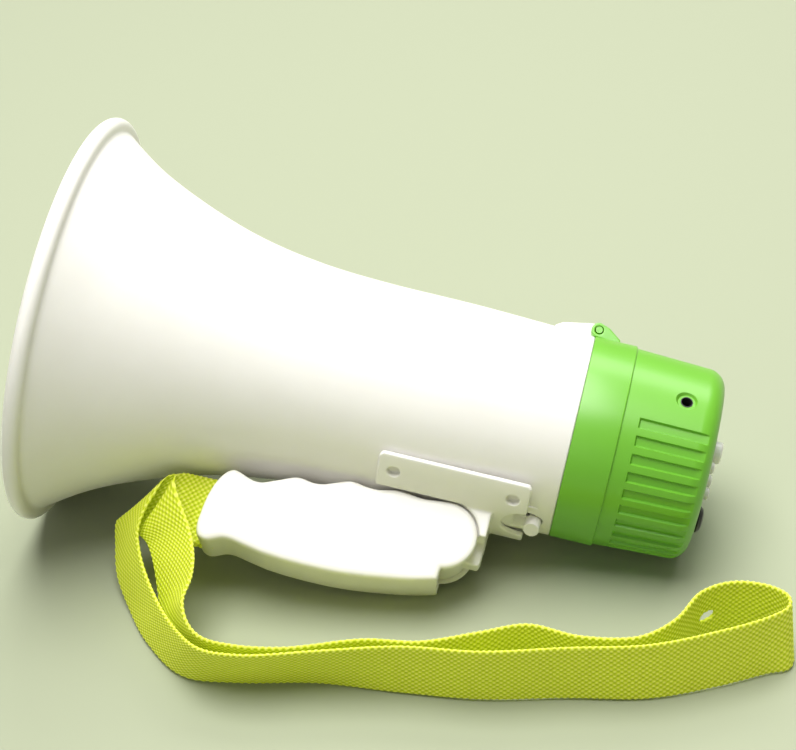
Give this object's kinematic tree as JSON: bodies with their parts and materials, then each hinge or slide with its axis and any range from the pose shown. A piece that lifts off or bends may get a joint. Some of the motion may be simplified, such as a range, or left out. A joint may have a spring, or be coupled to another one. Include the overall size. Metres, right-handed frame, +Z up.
{
  "type": "handheld megaphone",
  "caption": "Small handheld megaphone with a folded handle, a hinged green rear housing with push buttons, and a webbing wrist strap, lying on its side.",
  "frame": {"origin": "on the table, under the middle of the bounding box of the whole object as it lies", "axes": "+Z up from the table, X along the table with the mouth towards -X, +Y away from the side that the strap lies on"},
  "size_m": [0.2888, 0.1916, 0.1507],
  "materials": {
    "white_plastic": "glossy moulded ABS",
    "green_plastic": "glossy moulded ABS",
    "black_plastic": "satin",
    "webbing": "plain-woven nylon webbing",
    "cell_jacket": "printed film, left plain",
    "circuit_board": "solder mask",
    "fibre_board": "bare fibre",
    "diaphragm": "phenolic film",
    "magnet_iron": "ferrite and iron",
    "steel": "zinc plated"
  },
  "bodies": {
    "horn": {"horn_bell": "white_plastic", "throat_tube": "white_plastic", "reflector_cup": "white_plastic", "reflector_screw": "steel", "driver_plate": "white_plastic", "driver_frame": "black_plastic", "driver_diaphragm": "diaphragm", "driver_magnet": "magnet_iron", "driver_screw_1": "steel", "driver_screw_2": "steel", "driver_screw_3": "steel", "battery_cradle": "black_plastic", "front_contact_board": "fibre_board", "battery_cell_1": "cell_jacket", "battery_cell_2": "cell_jacket", "battery_cell_3": "cell_jacket", "battery_cell_4": "cell_jacket", "battery_spring_1": "steel", "battery_spring_2": "steel", "battery_spring_3": "steel", "battery_spring_4": "steel", "saddle_bracket": "white_plastic", "bracket_screw_1": "steel", "bracket_screw_2": "steel", "bracket_screw_3": "steel", "bracket_screw_4": "steel", "hinge_pin": "green_plastic", "latch_spring": "steel"},
    "latch": {"latch_button": "white_plastic"},
    "handle": {"handle_near_shell": "white_plastic", "handle_far_shell": "white_plastic", "pivot_bolt": "steel", "handle_screw_1": "steel", "handle_screw_2": "steel", "handle_screw_3": "steel", "strap_pin": "steel", "wrist_strap": "webbing"},
    "rear_housing": {"housing_ring": "green_plastic", "rear_cap": "green_plastic", "dc_jack": "black_plastic", "contact_plate": "fibre_board", "amplifier_board": "circuit_board", "board_screw_1": "steel", "board_screw_2": "steel", "board_screw_3": "steel", "capacitor_1": "black_plastic", "capacitor_2": "black_plastic", "amplifier_heatsink": "steel", "talk_switch": "black_plastic", "mode_1_switch": "black_plastic", "mode_2_switch": "black_plastic", "mode_3_switch": "black_plastic", "volume_pot": "black_plastic", "mic_capsule": "steel", "mic_felt": "black_plastic"},
    "talk": {"talk_button": "white_plastic"},
    "mode_1": {"mode_button_1": "white_plastic"},
    "mode_2": {"mode_button_2": "white_plastic"},
    "mode_3": {"mode_button_3": "white_plastic"},
    "volume": {"volume_knob": "black_plastic"}
  },
  "joints": [
    {"name": "handle_fold", "type": "hinge", "parent": "horn", "child": "handle", "pos_m": [0.01649, -0.02199, 0.01977], "axis": [0.1419, -0.5794, 0.8026], "range_deg": [0, 90], "deforming": ["wrist_strap"]},
    {"name": "housing_hinge", "type": "hinge", "parent": "horn", "child": "rear_housing", "pos_m": [0.06247, 0.05121, 0.06447], "axis": [0.1419, -0.5794, 0.8026], "range_deg": [0, 100]},
    {"name": "latch_press", "type": "slide", "parent": "horn", "child": "latch", "axis": [0.0692, 0.9177, 0.3912], "range_m": [0, 0.002], "stiffness_N_per_m": 500, "deforming": ["latch_spring"]},
    {"name": "talk_press", "type": "slide", "parent": "rear_housing", "child": "talk", "axis": [-0.9847, 0, 0.1741], "range_m": [0, 0.0018], "stiffness_N_per_m": 400},
    {"name": "mode_1_press", "type": "slide", "parent": "rear_housing", "child": "mode_1", "axis": [-0.9847, 0, 0.1741], "range_m": [0, 0.001], "stiffness_N_per_m": 400},
    {"name": "mode_2_press", "type": "slide", "parent": "rear_housing", "child": "mode_2", "axis": [-0.9847, 0, 0.1741], "range_m": [0, 0.001], "stiffness_N_per_m": 400},
    {"name": "mode_3_press", "type": "slide", "parent": "rear_housing", "child": "mode_3", "axis": [-0.9847, 0, 0.1741], "range_m": [0, 0.001], "stiffness_N_per_m": 400},
    {"name": "volume_turn", "type": "hinge", "parent": "rear_housing", "child": "volume", "pos_m": [0.06398, -0.00105, 0.03334], "axis": [0.9847, 0, -0.1741], "range_deg": [0, 270]}
  ]
}
